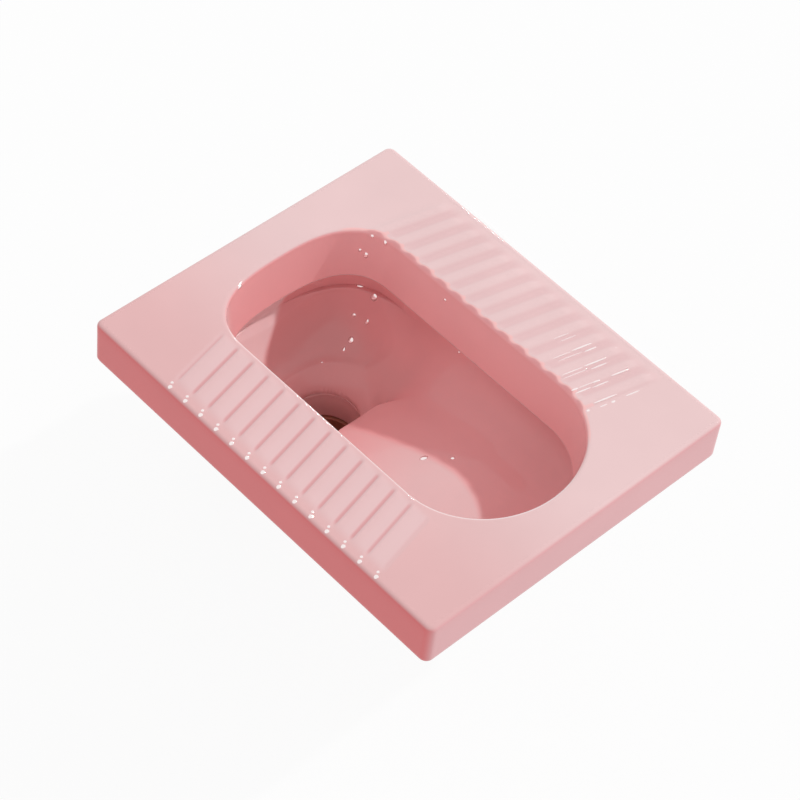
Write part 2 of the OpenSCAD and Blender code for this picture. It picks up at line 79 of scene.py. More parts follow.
# ---------------------------------------------------------------- columns round the mouth
# A column is a point on the pan's middle line and a direction out of it.
def columns(straight, fine_y, front_turns, back_turns):
    """Columns anticlockwise: right side, deep end, left side, shallow end."""
    ys = np.unique(np.concatenate([np.linspace(FRONT_C, BACK_C, straight), np.array(fine_y, float)]))
    right = [(y, 1.0, 0.0) for y in ys]
    back = [(BACK_C, math.cos(t), math.sin(t)) for t in back_turns]
    left = [(y, -1.0, 0.0) for y in ys[::-1]]
    front = [(FRONT_C, math.cos(t), math.sin(t)) for t in front_turns]
    return np.array(right + back + left + front)


def turns(start, end, fine, coarse, dense):
    """Angles between start and end, ends left out: fine in the zones listed in dense, coarse elsewhere."""
    out, t = [], start
    while True:
        near = any(a <= t < b for a, b in dense)
        t += fine if near else coarse
        if t >= end - 1e-6:
            break
        out.append(t)
    return out


def even_columns(straight, fine_y, step):
    """Columns with even turns at both ends."""
    front, back = turns(math.pi, 2 * math.pi, step, step, []), turns(0.0, math.pi, step, step, [])
    return columns(straight, fine_y, front, back)


def radius(cols, off, back_extra=0.0):
    """Distance from the middle line to the mouth's outline, moved out by off, for each column."""
    ex, ey = cols[:, 1], cols[:, 2]
    n = np.where(ey > 0, BACK_N, FRONT_N)
    b = np.where(ey > 0, BACK_R + back_extra, FRONT_R) + off
    a = MOUTH_HW + off
    return (np.abs(ex / a) ** n + np.abs(ey / b) ** n) ** (-1.0 / n)


def at(cols, r, z):
    """Points at radius r and height z on each column."""
    p = np.zeros((len(cols), 3))
    p[:, 0] = r * cols[:, 1]
    p[:, 1] = cols[:, 0] + r * cols[:, 2]
    p[:, 2] = z
    return p


def grid_faces(rows, count, wrap_rows):
    """Quads through rows of closed rings. wrap_rows also joins the last row to the first."""
    faces = []
    for k in range(rows if wrap_rows else rows - 1):
        a, b = k * count, ((k + 1) % rows) * count
        for i in range(count):
            j = (i + 1) % count
            faces.append((a + i, a + j, b + j, b + i))
    return faces


def new_object(name, verts, faces):
    """An object in the scene from points in millimetres."""
    me = bpy.data.meshes.new(name)
    me.from_pydata([(x * MM, y * MM, z * MM) for x, y, z in verts], [], faces)
    ob = bpy.data.objects.new(name, me)
    bpy.context.scene.collection.objects.link(ob)
    return ob


def add_mesh(name, verts, faces, body="root", sharp=SHARP):
    ob = new_object(name, np.asarray(verts), faces)
    finish_mesh(ob, sharp)
    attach(ob, body)
    return ob


def finish_mesh(ob, sharp=SHARP):
    """Turns every face outward and shades smooth up to an angle."""
    me = ob.data
    bm = bmesh.new()
    bm.from_mesh(me)
    bmesh.ops.recalc_face_normals(bm, faces=bm.faces)
    for f in bm.faces:
        f.smooth = True
    bm.to_mesh(me)
    bm.free()
    me.set_sharp_from_angle(angle=math.radians(sharp))
    me.update()


def cut(ob, tool, how="DIFFERENCE"):
    """Boolean, applied, and the tool removed."""
    m = ob.modifiers.new("cut", "BOOLEAN")
    m.operation = how
    m.solver = "EXACT"
    m.object = tool
    bpy.context.view_layer.objects.active = ob
    for o in bpy.context.selected_objects:
        o.select_set(False)
    ob.select_set(True)
    bpy.ops.object.modifier_apply(modifier=m.name)
    bpy.data.objects.remove(tool)


def tool_mesh(name, verts, faces):
    """A closed mesh to cut with."""
    ob = new_object(name, verts, faces)
    bm = bmesh.new()
    bm.from_mesh(ob.data)
    bmesh.ops.recalc_face_normals(bm, faces=bm.faces)
    bm.to_mesh(ob.data)
    bm.free()
    return ob


def add_box(verts, faces, corners):
    """Adds a box of eight corners, four and then the four over them, to verts and faces."""
    base = len(verts)
    verts += corners
    quads = ((0, 1, 2, 3), (4, 5, 6, 7), (0, 1, 5, 4), (1, 2, 6, 5), (2, 3, 7, 6), (3, 0, 4, 7))
    faces += [[base + i for i in quad] for quad in quads]


def revolve(profile, centre, axis, steps=96):
    """Verts and faces of a closed profile [(radius, along)] turned about an axis through centre."""
    axis = Vector(axis).normalized()
    u = axis.orthogonal().normalized()
    w = axis.cross(u)
    verts, n = [], len(profile)
    for i in range(steps):
        t = 2 * math.pi * i / steps
        d = u * math.cos(t) + w * math.sin(t)
        for r, h in profile:
            verts.append(tuple(Vector(centre) + axis * h + d * r))
    faces = []
    for i in range(steps):
        j = (i + 1) % steps
        for k in range(n):
            m = (k + 1) % n
            faces.append((i * n + k, j * n + k, j * n + m, i * n + m))
    return verts, faces


def smoothstep(t):
    t = np.clip(t, 0.0, 1.0)
    return t * t * (3 - 2 * t)


# ---------------------------------------------------------------- footrest ribs
RIBS, PITCH, RIB_MID_Y = 14, 27.15, 5.5
RIB_IN, RIB_OUT, RIB_SLANT = 126.0, 231.0, math.tan(math.radians(13))
RIB_H_FAR = 2.8
FAR_RISE, FAR_FALL = (-0.22, 0.05), (0.24, 0.66)    # parts of a rib's pitch over which the right wave changes
FAR_END = 24.0                                      # length over which a rib fades at its outer end
PAD_H, GROOVE_H = 0.8, -1.1
NEAR_DROP, NEAR_CLIMB, NEAR_PAD = (-0.19, -0.02), (-0.02, 0.17), (0.17, 0.70)
NEAR_LEAD = (0.30, 0.85)                            # where the first pad climbs from the plain deck
NEAR_START, NEAR_START_RUN, NEAR_END_IN, NEAR_END = 130.0, 9.0, 2.0, 14.0
FAINT = 0.3                                         # share of the height that the outermost grooves keep


def within_rib(s, start):
    """The place within a rib's pitch, counted from start, and the rib's number."""
    k = np.round(s)
    t = s - k
    return np.where(t < start, t + 1, t), np.where(t < start, k - 1, k)


def far_wave(s):
    """Right footrest: a smooth wave, steeper toward the shallow end. s counts ribs along Y."""
    (rise_a, rise_b), (fall_a, fall_b) = FAR_RISE, FAR_FALL
    tt, kk = within_rib(s, rise_a)
    up = smoothstep((tt - rise_a) / (rise_b - rise_a))
    down = 1 - smoothstep((tt - fall_a) / (fall_b - fall_a))
    wave = RIB_H_FAR * np.where(tt < rise_b, up, down)
    return np.where((kk >= -0.5) & (kk <= RIBS - 0.5), wave, 0.0)


def near_wave(s):
    """Left footrest: broad low pads between narrow grooves, each steep on the side toward the deep end."""
    (drop_a, drop_b), climb_b, (pad_a, pad_b) = NEAR_DROP, NEAR_CLIMB[1], NEAR_PAD
    tt, kk = within_rib(s, drop_a)
    drop = PAD_H + (GROOVE_H - PAD_H) * smoothstep((tt - drop_a) / (drop_b - drop_a))
    climb = GROOVE_H * (1 - smoothstep((tt - drop_b) / (climb_b - drop_b)))
    pad = PAD_H * smoothstep((tt - pad_a) / (pad_b - pad_a))
    wave = np.where(tt < drop_b, drop, climb + pad)
    wave = np.where((kk > RIBS - 1.5) & (tt >= drop_b), climb, wave)
    lead = PAD_H * smoothstep((tt - NEAR_LEAD[0]) / (NEAR_LEAD[1] - NEAR_LEAD[0]))
    wave = np.where((kk > -1.5) & (kk < -0.5), np.where(tt < drop_b, 0.0, lead), wave)
    # the outermost grooves are the faintest
    faint = FAINT + (1 - FAINT) * smoothstep((s + 0.3) / 2.0) * smoothstep((RIBS + 0.2 - s) / 2.5)
    return faint * np.where((kk > -1.5) & (kk < RIBS - 0.5), wave, 0.0)


def rib_height(x, y):
    """Height of the ribs over the flat deck. The ribs lean toward the shallow end on their way out."""
    ax = np.abs(x)
    top = RIB_MID_Y + (RIBS - 1) / 2 * PITCH
    s = (y + (ax - RIB_IN) * RIB_SLANT - (top - (RIBS - 1) * PITCH)) / PITCH
    far = far_wave(s) * smoothstep((RIB_OUT - ax) / FAR_END)
    near = (near_wave(s) * smoothstep((ax - NEAR_START) / NEAR_START_RUN)
            * smoothstep((RIB_OUT - NEAR_END_IN - ax) / NEAR_END))
    return np.where(x > 0, far, near)


# ---------------------------------------------------------------- deck
def rect_radius(cols, inset, corner):
    """Distance along each column to the deck's outline, standing in by inset, with rounded corners."""
    hx, hy = DECK_W / 2 - inset, DECK_L / 2 - inset
    sy, ex, ey = cols[:, 0], cols[:, 1], cols[:, 2]
    with np.errstate(divide="ignore", invalid="ignore"):
        tx = np.where(np.abs(ex) > 1e-9, hx / np.abs(ex), 1e9)
        ty = np.where(ey > 1e-9, (hy - sy) / np.maximum(ey, 1e-9),
                      np.where(ey < -1e-9, (hy + sy) / np.maximum(-ey, 1e-9), 1e9))
    r = np.minimum(tx, ty)
    c = max(corner, 0.5)
    cx, cy = hx - c, hy - c
    px, py = np.abs(r * ex), np.abs(sy + r * ey)
    hit = (px > cx) & (py > cy)
    sgx, sgy = np.sign(ex), np.sign(ey)
    ox, oy = -sgx * cx, sy - sgy * cy
    b = ox * ex + oy * ey
    disc = np.maximum(b * b - (ox * ox + oy * oy - c * c), 0.0)
    return np.where(hit, -b + np.sqrt(disc), r)


def lip_off(z):
    """How far the lip stands in from the mouth's outline at a height."""
    return -LIP_LEAN * np.clip((LIP_TOP - z) / (LIP_TOP + 9.0), 0.0, 1.0) ** 1.15


def make_deck():
    fine, coarse = math.radians(0.36), math.radians(1.5)
    corner_f = math.atan2(DECK_L / 2 + FRONT_C, DECK_W / 2)
    corner_b = math.atan2(DECK_L / 2 - BACK_C, DECK_W / 2)
    # fine columns at the deck's corners and where the mouth's ends begin
    w, start_b, start_f = math.radians(3.0), math.radians(18), math.radians(26)
    half, full = math.pi, 2 * math.pi
    zone_b = [(0.0, start_b), (corner_b - w, corner_b + w),
              (half - corner_b - w, half - corner_b + w), (half - start_b, half)]
    zone_f = [(half, half + start_f), (half + corner_f - w, half + corner_f + w),
              (full - corner_f - w, full - corner_f + w), (full - start_f, full)]
    cols = columns(222, [], turns(half, full, fine, coarse, zone_f), turns(0.0, half, fine, coarse, zone_b))
    rows = []
    # lip top, then the roll onto the deck
    for z in (PLATE_LOW, 53.0, LIP_TOP):
        rows.append(at(cols, radius(cols, lip_off(z)), z))
    r_in = radius(cols, ROLL_R)
    r_out = rect_radius(cols, EDGE_R, CORNER_R - EDGE_R)
    for a in np.linspace(0, 90, 13)[1:]:
        a = math.radians(a)
        out, up = max(math.cos(a), 0.0) ** (2 / ROLL_N), math.sin(a) ** (2 / ROLL_N)
        p = at(cols, radius(cols, ROLL_R * (1 - out)), DECK_H - ROLL_R + ROLL_R * up)
        p[:, 2] += rib_height(p[:, 0], p[:, 1]) * smoothstep(up ** 5)
        rows.append(p)
    steps = 96
    for s in np.linspace(0, 1, steps + 1)[1:]:
        p = at(cols, r_in + s * (r_out - r_in), DECK_H)
        p[:, 2] += rib_height(p[:, 0], p[:, 1])
        rows.append(p)
    # outer edge, skirt, foot, inside of the skirt, underside
    for a in np.linspace(90, 0, 7)[1:]:
        a = math.radians(a)
        inset = EDGE_R * (1 - math.cos(a))
        z = DECK_H - EDGE_R + EDGE_R * math.sin(a)
        rows.append(at(cols, rect_radius(cols, inset, CORNER_R - inset), z))
    rings = [(0.0, CORNER_R, z) for z in (44.0, 30.0, 16.0, 5.0, FOOT_H + 0.6)]
    rings += [(0.3, CORNER_R, FOOT_H), (FOOT_IN, CORNER_R, FOOT_H - 0.6), (FOOT_IN, CORNER_R, 0.0)]
    rings += [(SKIRT_T + fillet, INNER_R, PLATE_LOW - down) for fillet, down in
              ((0.0, PLATE_LOW), (0.0, 4.0), (1.2, 1.2), (4.0, 0.0))]
    for inset, corner, z in rings:
        rows.append(at(cols, rect_radius(cols, inset, corner), z))
    verts = np.concatenate(rows)
    return add_mesh("deck_glazed", verts, grid_faces(len(rows), len(cols), True))


# ---------------------------------------------------------------- flushing rim
def make_rim():
    cols = even_columns(120, [], math.radians(1.8))
    rows = []
    for z in (PLATE_LOW, 46.0, 38.0, 30.0, 20.0, 10.0, 0.0, -5.0, -8.0):
        rows.append(at(cols, radius(cols, lip_off(z)), z))
    low_r = 4.0
    turn_z = LIP_LOW + low_r
    for a in np.linspace(0, 90, 9)[1:]:
        a = math.radians(a)
        off = lip_off(turn_z) + low_r * (1 - math.cos(a))
        rows.append(at(cols, radius(cols, off), turn_z - low_r * math.sin(a)))
    # underside, outer wall, channel
    out = LIP_BACK + CHANNEL_W + RIM_T - 1.0
    ch = LIP_BACK + CHANNEL_W

    def put(off, z, extra=0.0):
        rows.append(at(cols, radius(cols, off, extra), z))
    put(3.0, LIP_LOW)
    put(SETBACK, LIP_LOW)
    put(SETBACK + BOWL_T, LIP_LOW)
    put(out - 2.0, LIP_LOW, CHANNEL_EXTRA)
    put(out - 0.6, LIP_LOW + 0.6, CHANNEL_EXTRA)
    put(out, LIP_LOW + 2.0, CHANNEL_EXTRA)
    put(out, 10.0, CHANNEL_EXTRA)
    put(out, 30.0, CHANNEL_EXTRA)
    put(out, PLATE_LOW, CHANNEL_EXTRA)
    put(ch, PLATE_LOW, CHANNEL_EXTRA)
    put(ch, CHANNEL_FLOOR + 3.0, CHANNEL_EXTRA)
    put(ch - 3.0, CHANNEL_FLOOR, CHANNEL_EXTRA)
    put(LIP_BACK + 2.0, CHANNEL_FLOOR)
    put(LIP_BACK + 0.4, CHANNEL_FLOOR + 2.0)
    put(RIM_T - 0.2, PLATE_LOW)
    verts = np.concatenate(rows)
    ob = add_mesh("rim_glazed", verts, grid_faces(len(rows), len(cols), True))
    tv, tf = [], []
    for x, y in flush_places():
        cv, cf = drill(x, y, FLUSH_R, LIP_LOW - 2.0, CHANNEL_FLOOR + 2.0)
        tf += [[a + len(tv) for a in f] for f in cf]
        tv += cv
    x, (y0, y1), z0, z1 = SLOT_HW, SLOT_Y, LIP_LOW - 2.0, CHANNEL_FLOOR + 4.0
    add_box(tv, tf, [(px, py, pz) for pz in (z0, z1) for px, py in ((-x, y0), (x, y0), (x, y1), (-x, y1))])
    cut(ob, tool_mesh("flush_drill", tv, tf))
    finish_mesh(ob)
    return ob


def flush_places():
    """Centres of the flush holes under the rim, as in the CAD."""
    places = []
    for i in range(SIDE_HOLES):
        y = FRONT_C + (BACK_C - FRONT_C) * i / (SIDE_HOLES - 1)
        places += [(MOUTH_HW + HOLE_OFF, y), (-MOUTH_HW - HOLE_OFF, y)]
    for i in range(-END_HOLES, END_HOLES + 1):
        t = math.radians(HOLE_TURN * i)
        r = FRONT_R + HOLE_OFF
        places.append(((MOUTH_HW + HOLE_OFF) * math.sin(t), FRONT_C - r * math.cos(t)))
        x = HOLE_STEP * i
        share = 1 - (abs(x) / (MOUTH_HW + HOLE_OFF)) ** BACK_N
        places.append((x, BACK_C + (BACK_R + HOLE_OFF) * share ** (1 / BACK_N)))
    return places


def drill(x, y, r, z0, z1, sides=20):
    """Verts and faces of one upright cylinder."""
    turn = [2 * math.pi * i / sides for i in range(sides)]
    verts = [(x + r * math.cos(t), y + r * math.sin(t), z) for z in (z0, z1) for t in turn]
    faces = [[i, (i + 1) % sides, sides + (i + 1) % sides, sides + i] for i in range(sides)]
    faces += [list(range(sides)), list(range(sides, 2 * sides))]
    return verts, faces


# ---------------------------------------------------------------- bowl
def tray_z(r, y):
    fall = np.clip((y - STEP_Y + TRAY_RUN) / TRAY_RUN, 0, 1.4) ** 1.5
    floor = TRAY_SHALLOW + (TRAY_DEEP - TRAY_SHALLOW) * fall
    return DECK_H - (TRAY_UPRIGHT + (floor - TRAY_UPRIGHT)
                     * (1 - np.clip((r - TRAY_FLAT) / (1 - TRAY_FLAT), 0, 1) ** TRAY_CURVE))


def sump_z(x, y, off):
    u = np.abs(x) / (MOUTH_HW + off)
    v = np.maximum(0, y - OUTLET_Y) / (BACK_C + BACK_R + off - OUTLET_Y)
    r = (u ** SUMP_CURVE + v ** SUMP_CURVE) ** (1 / SUMP_CURVE)
    return DECK_H - (SUMP_DEEP - (SUMP_DEEP - SUMP_UPRIGHT) * np.minimum(r * r, 1.0))


# From the middle line out, the step melts into a long slope: where it starts and over what width
MELT_FROM, MELT_RUN, SOFT_FROM, SOFT_RUN = 26.0, 62.0, 20.0, 34.0
SLOPE_IN, SLOPE_IN_MORE, SLOPE_IN_SHIFT = 2.0, 50.0, 0.7
SLOPE_OUT, SLOPE_OUT_MORE, SLOPE_OUT_SHIFT = 12.0, 40.0, 1.3


def bowl_z(x, y, r, off, down, step_y, edge, foot):
    """Height of the bowl's skin: the tray, a rounded step that melts into the side walls, then the sump."""
    t = tray_z(r, y) - down
    s = np.minimum(sump_z(x, y, off) - down, t)
    melt = smoothstep((np.abs(x) - MELT_FROM) / MELT_RUN)
    if down:
        # the outside has a long slope instead of the step
        half = SLOPE_OUT + SLOPE_OUT_MORE * melt
        return t + (s - t) * smoothstep((y - step_y + half * SLOPE_OUT_SHIFT) / (2 * half))
    # rounded nosing before the step, fillet at its foot
    q = np.clip(y - (step_y - edge), 0, edge)
    nose = np.maximum(t - (edge - np.sqrt(np.maximum(edge * edge - q * q, 0))), s)
    f = np.clip((step_y + STEP_RUN + foot - y) / foot, 0, 1)
    low = np.minimum(s + foot * (1 - np.sqrt(np.maximum(1 - f * f, 0))), nose)
    crisp = np.where(y <= step_y, nose,
                     np.where(y >= step_y + STEP_RUN, low,
                              nose + (low - nose) * smoothstep((y - step_y) / STEP_RUN)))
    # toward the side walls the step becomes a long slope
    half = SLOPE_IN + SLOPE_IN_MORE * melt
    soft = t + (s - t) * smoothstep((y - step_y + half * SLOPE_IN_SHIFT) / (2 * half))
    return crisp + (soft - crisp) * smoothstep((np.abs(x) - SOFT_FROM) / SOFT_RUN)


def bowl_shell(off, down, z_top, step_y, edge, foot, cols, rings, flare):
    rows = [at(cols, radius(cols, off), z_top)]
    wall_r = radius(cols, off)
    for r in rings:
        p = at(cols, wall_r * r, 0.0)
        p[:, 2] = bowl_z(p[:, 0], p[:, 1], r, off, down, step_y, edge, foot)
        if flare:
            rho = np.hypot(p[:, 0], p[:, 1] - OUTLET_Y)
            d = np.clip((OUTLET_R + flare - rho) / flare, 0, 1)
            p[:, 2] -= FLARE_DEEP * (1 - np.sqrt(np.maximum(1 - d * d, 0)))
        rows.append(p)
    return rows


def make_bowl():
    near_step = [STEP_Y - 4 + 0.5 * i for i in range(0, 24)]
    near_out = [STEP_Y - BOWL_T - 2 + 1.0 * i for i in range(0, 8)]
    cols = even_columns(112, near_step + near_out, math.radians(2.0))
    rings = np.concatenate([np.linspace(1.0, 0.9, 12), np.linspace(0.9, 0.02, 54)[1:]])
    inner = bowl_shell(SETBACK, 0.0, LIP_LOW, STEP_Y, 3.0, 6.0, cols, rings, 16.0)
    outer = bowl_shell(SETBACK + BOWL_T, BOWL_T, LIP_LOW, STEP_Y - BOWL_T, 4.0, 8.0, cols, rings, 0.0)
    n = len(cols)
    stack = inner[::-1] + outer
    verts = np.concatenate(stack)
    faces = grid_faces(len(stack), n, False)
    # the two middle seams: join each right column to its mirror on the left
    straight = int(np.sum(cols[:, 1] == 1.0))
    n_back = int(np.sum((cols[:, 2] > 0)))
    left0 = straight + n_back
    for base in (0, (len(stack) - 1) * n):
        for i in range(straight - 1):
            a, b = i, i + 1
            c, d = left0 + straight - 1 - i, left0 + straight - 2 - i
            faces.append((base + a, base + b, base + d, base + c))
        faces.append([base + i for i in range(straight - 1, left0 + 1)])
        faces.append([base + i for i in list(range(left0 + straight - 1, n)) + [0]])
    ob = add_mesh("bowl_glazed", verts, faces, sharp=BOWL_SHARP)
    # outlet spigot and bore
    hub, top = 0.001, -148.0
    spigot = [(hub, SPIGOT_LOW), (SPIGOT_R - 2, SPIGOT_LOW), (SPIGOT_R, SPIGOT_LOW + 2), (SPIGOT_R, -165.0),
              (SPIGOT_R + 2.0, -158.0), (SPIGOT_R + 2.0, top), (hub, top)]
    low, high = SPIGOT_LOW - 4, -120.0
    bore = [(hub, low), (OUTLET_R, low), (OUTLET_R, high), (hub, high)]
    for name, profile, how in (("spigot", spigot, "UNION"), ("bore", bore, "DIFFERENCE")):
        cut(ob, tool_mesh(name, *revolve(profile, (0, OUTLET_Y, 0), (0, 0, 1), 128)), how)
    finish_mesh(ob, BOWL_SHARP)
    return ob


# ---------------------------------------------------------------- materials
def material(name):
    m = bpy.data.materials.new(name)
    m.use_nodes = True
    nt = m.node_tree
    return m, nt, nt.nodes["Principled BSDF"]


def link(nt, a, b):
    nt.links.new(a, b)


def feed(nt, socket, value):
    """Links an output to a socket, or sets it to a number or a colour."""
    if isinstance(value, bpy.types.NodeSocket):
        link(nt, value, socket)
    elif isinstance(value, tuple):
        socket.default_value = (*value, 1)
    else:
        socket.default_value = value


def mixer(nt, fac, a, b):
    """Colour mix."""
    m = nt.nodes.new("ShaderNodeMix")
    m.data_type = "RGBA"
    for k, v in ((0, fac), (6, a), (7, b)):
        feed(nt, m.inputs[k], v)
    return m.outputs[2]


def mixer_value(nt, fac, a, b):
    """Float mix."""
    m = nt.nodes.new("ShaderNodeMix")
    m.data_type = "FLOAT"
    for k, v in ((0, fac), (2, a), (3, b)):
        feed(nt, m.inputs[k], v)
    return m.outputs[0]


def math_node(nt, op, *values):
    m = nt.nodes.new("ShaderNodeMath")
    m.operation = op
    for socket, value in zip(m.inputs, values):
        feed(nt, socket, value)
    return m.outputs[0]


def noise(nt, vec, scale, detail=2.0, rough=0.5):
    n = nt.nodes.new("ShaderNodeTexNoise")
    n.inputs["Scale"].default_value = scale
    n.inputs["Detail"].default_value = detail
    n.inputs["Roughness"].default_value = rough
    nt.links.new(vec, n.inputs["Vector"])
    return n.outputs["Fac"]


def split(nt, vector):
    """X, Y and Z of a vector."""
    n = nt.nodes.new("ShaderNodeSeparateXYZ")
    link(nt, vector, n.inputs[0])
    return n.outputs


def flat_length(nt, x, y):
    """Length of the vector (x, y)."""
    flat = nt.nodes.new("ShaderNodeCombineXYZ")
    link(nt, x, flat.inputs[0])
    link(nt, y, flat.inputs[1])
    n = nt.nodes.new("ShaderNodeVectorMath")
    n.operation = "LENGTH"
    link(nt, flat.outputs[0], n.inputs[0])
    return n.outputs["Value"]


def span(nt, value, a, b, smooth=True):
    """0 at a, 1 at b."""
    n = nt.nodes.new("ShaderNodeMapRange")
    if smooth:
        n.interpolation_type = "SMOOTHSTEP"
    n.inputs["From Min"].default_value = a
    n.inputs["From Max"].default_value = b
    link(nt, value, n.inputs["Value"])
    return n.outputs[0]


def both(nt, *factors):
    """Masks multiplied."""
    out = factors[0]
    for f in factors[1:]:
        out = math_node(nt, "MULTIPLY", out, f)
    return out


def either(nt, *factors):
    """The largest of the masks."""
    out = factors[0]
    for f in factors[1:]:
        out = math_node(nt, "MAXIMUM", out, f)
    return out


def over(nt, value, limit):
    return math_node(nt, "GREATER_THAN", value, limit)


def less(nt, value, limit):
    return math_node(nt, "LESS_THAN", value, limit)


# ---------------------------------------------------------------- glaze
# The colours change with the place on the pan and with the way that the surface faces. They stand in for part
# of the photo's light and shade, which one glaze colour under white lamps did not give.
TOP_LEFT, TOP_RIGHT = (0.80, 0.48, 0.48), (0.85, 0.605, 0.605)  # deck
END, SHADED_SIDE = (0.83, 0.43, 0.445), (0.775, 0.18, 0.185)           # skirt, deeper than the top as painted shade, and its side toward -X, deepest as painted shade
GROOVE_SHADE, VALLEY_SHADE = (0.74, 0.37, 0.38), (0.82, 0.55, 0.555)        # painted shade between the ribs: floor, and flanks
SHADED_WALL, LOW_SHADE = (0.94, 0.46, 0.465), (0.86, 0.375, 0.38)            # walls of the pan in painted shade, above, and deeper painted shade below
LIT_TRAY = (0.83, 0.55, 0.55)                                      # painted light: tray where the key lamp reaches it
LIT_WALL = (0.92, 0.65, 0.65)                                  # painted light: left wall, and lit part of the end wall
SUMP_SHADE, BORE = (0.77, 0.37, 0.37), (0.94, 0.52, 0.51)             # sump in painted shade, and outlet
ROLL_SHADE, PAINTED_HIGHLIGHT = (0.98, 0.56, 0.55), (0.96, 0.88, 0.87)             # roll of the mouth turned from the key lamp, in painted shade, and the painted highlight along the roll and on the beads
BISQUE = (0.72, 0.62, 0.52)                                     # bare clay

# Where each mask goes from 0 to 1: metres of a place, or parts of a normal. A mask may run either way.
DECK_ACROSS, DECK_FLAT = (-0.20, 0.05), (0.35, 0.97)
SHADE_POWER = 1.5
FOOT_INNER, FOOT_OUTER, FOOT_MID, FOOT_ENDS = (0.126, 0.140), (0.231, 0.215), 0.0347, (0.184, 0.174)
FOOT_Z, VALLEY_Z, GROOVE_Z = (0.0590, 0.0600), (0.0643, 0.0621), (0.0620, 0.0609)
LOW_Z, OPEN_R = (-0.020, -0.055), (0.130, 0.116)
BASIN_FLAT, BASIN_Y, BASIN_LEAST = (0.80, 0.95), (0.070, -0.080), 0.35
DEEP_Z, DEEP_Y, DEEP_X = (-0.020, -0.110), (0.055, 0.085), (0.120, 0.080)
END_WALL_Y, END_WALL_Z = (0.185, 0.210), (-0.008, -0.020)
BORE_Z = (-0.135, -0.160)
LEFT_X, LEFT_FACING = (-0.075, -0.115), (0.3, 0.7)
# the roll round the mouth
TURN_X, TURN_Y, TURN_DROP = 0.69, 0.72, 0.0035
MOUTH_X, MOUTH_BACK, MOUTH_FRONT = 0.1385, 0.2455, -0.2555
ROLL_X, ROLL_Y = 0.1335, 0.283
# painted highlight along the roll
LINE_TURN, LINE_LOW, LINE_HIGH, LINE_SHARE = (0.12, 0.40), (0.0568, 0.0585), (0.0630, 0.0619), 0.75
# where the roll is painted in shade
EDGE_FACING, EDGE_X = (-0.04, -0.16), (0.085, 0.100)
OVER_FACING, OVER_X = (-0.40, -0.62), (0.090, 0.100)
ROLL_Z = (0.0612, 0.0585)
# the outside under the deck
SPIGOT_Z, SPIGOT_FLAT, SPIGOT_FROM = -0.1465, 0.3, 0.0465
STEP_X, STEP_ENDS, OUTWARD, DOWNWARD = 0.13, 0.19, 0.02, (0.0, -0.15)
UNDER_DECK_Z = (-0.001, -0.003)
BARE_DOWN, BARE_Z = (-0.5, -0.8), -0.002
# finish
# metal on the beads, for a painted reflection
GLINT_METAL = 0.85
CLOUD_SCALE, CLOUD_FROM, CLOUD_DEPTH, CLOUD_BASE = 9.0, (0.3, 0.7), 0.045, 0.975
GLOSS_SCALE, GLOSS_RANGE, BARE_ROUGH, GLAZE_SPECULAR = 14.0, (0.035, 0.07), 0.8, 0.22
BUMP_SCALE, BUMP_STRENGTH, BUMP_HIGH = 24.0, 0.35, 0.0004


def deck_colour(nt, place, facing, ax):
    """Deck and skirt: the top paler than the upright faces as painted light, the left side of the top deeper
    than the right, the skirt deepest toward -X as painted shade.
    """
    top = mixer(nt, span(nt, place[0], *DECK_ACROSS), TOP_LEFT, TOP_RIGHT)
    # painted shade on the skirt where it turns toward -X, away from the key lamp
    shaded = math_node(nt, "MAXIMUM", math_node(nt, "MULTIPLY", facing[0], -1.0), 0.0)
    side = mixer(nt, math_node(nt, "POWER", shaded, SHADE_POWER), END, SHADED_SIDE)
    # painted light: the flat top paler than the upright faces
    col = mixer(nt, span(nt, facing[2], *DECK_FLAT), side, top)
    along = math_node(nt, "MULTIPLY_ADD", ax, RIB_SLANT, place[1])
    row = math_node(nt, "ABSOLUTE", math_node(nt, "SUBTRACT", along, FOOT_MID))
    footrest = both(nt, span(nt, ax, *FOOT_INNER), span(nt, ax, *FOOT_OUTER), span(nt, row, *FOOT_ENDS),
                    span(nt, place[2], *FOOT_Z))
    # painted shade low between the ribs of the footrests, deepest in the grooves
    col = mixer(nt, both(nt, footrest, span(nt, place[2], *VALLEY_Z)), col, VALLEY_SHADE)
    return mixer(nt, both(nt, footrest, span(nt, place[2], *GROOVE_Z)), col, GROOVE_SHADE)


def pan_colour(nt, place, facing):
    """Inside of the pan: walls, tray and depths, with painted light and shade. The key lamp's light is
    painted where it comes in by the mouth.
    """
    x, y, z = place
    # painted shade on the walls, deeper lower down
    inner = mixer(nt, span(nt, z, *LOW_Z), SHADED_WALL, LOW_SHADE)
    # painted light: where the key lamp comes in by the mouth, traced along its direction
    under = math_node(nt, "SUBTRACT", DECK_H / 1000, z)
    open_x = math_node(nt, "MULTIPLY_ADD", under, KEY_TOWARD[0], x)
    from_front = math_node(nt, "SUBTRACT", y, FRONT_C / 1000)
    open_y = math_node(nt, "MULTIPLY_ADD", under, KEY_TOWARD[1], from_front)
    key_lit = span(nt, flat_length(nt, open_x, math_node(nt, "MINIMUM", open_y, 0.0)), *OPEN_R)
    # the tray's floor paler there, a painted patch of light
    lit_floor = both(nt, span(nt, facing[2], *BASIN_FLAT), key_lit,
                  mixer_value(nt, span(nt, y, *BASIN_Y), BASIN_LEAST, 1.0))
    inner = mixer(nt, lit_floor, inner, LIT_TRAY)
    # painted shade in the sump
    deep = both(nt, span(nt, z, *DEEP_Z), span(nt, y, *DEEP_Y), span(nt, x, *DEEP_X))
    inner = mixer(nt, deep, inner, SUMP_SHADE)
    # painted light on the end wall where the key lamp reaches it
    end_wall = both(nt, key_lit, span(nt, y, *END_WALL_Y), span(nt, z, *END_WALL_Z))
    inner = mixer(nt, end_wall, inner, LIT_WALL)
    inner = mixer(nt, span(nt, z, *BORE_Z), inner, BORE)
    # painted light on the left wall where it faces +X, toward the key lamp
    return mixer(nt, both(nt, span(nt, x, *LEFT_X), span(nt, facing[0], *LEFT_FACING)), inner, LIT_WALL)


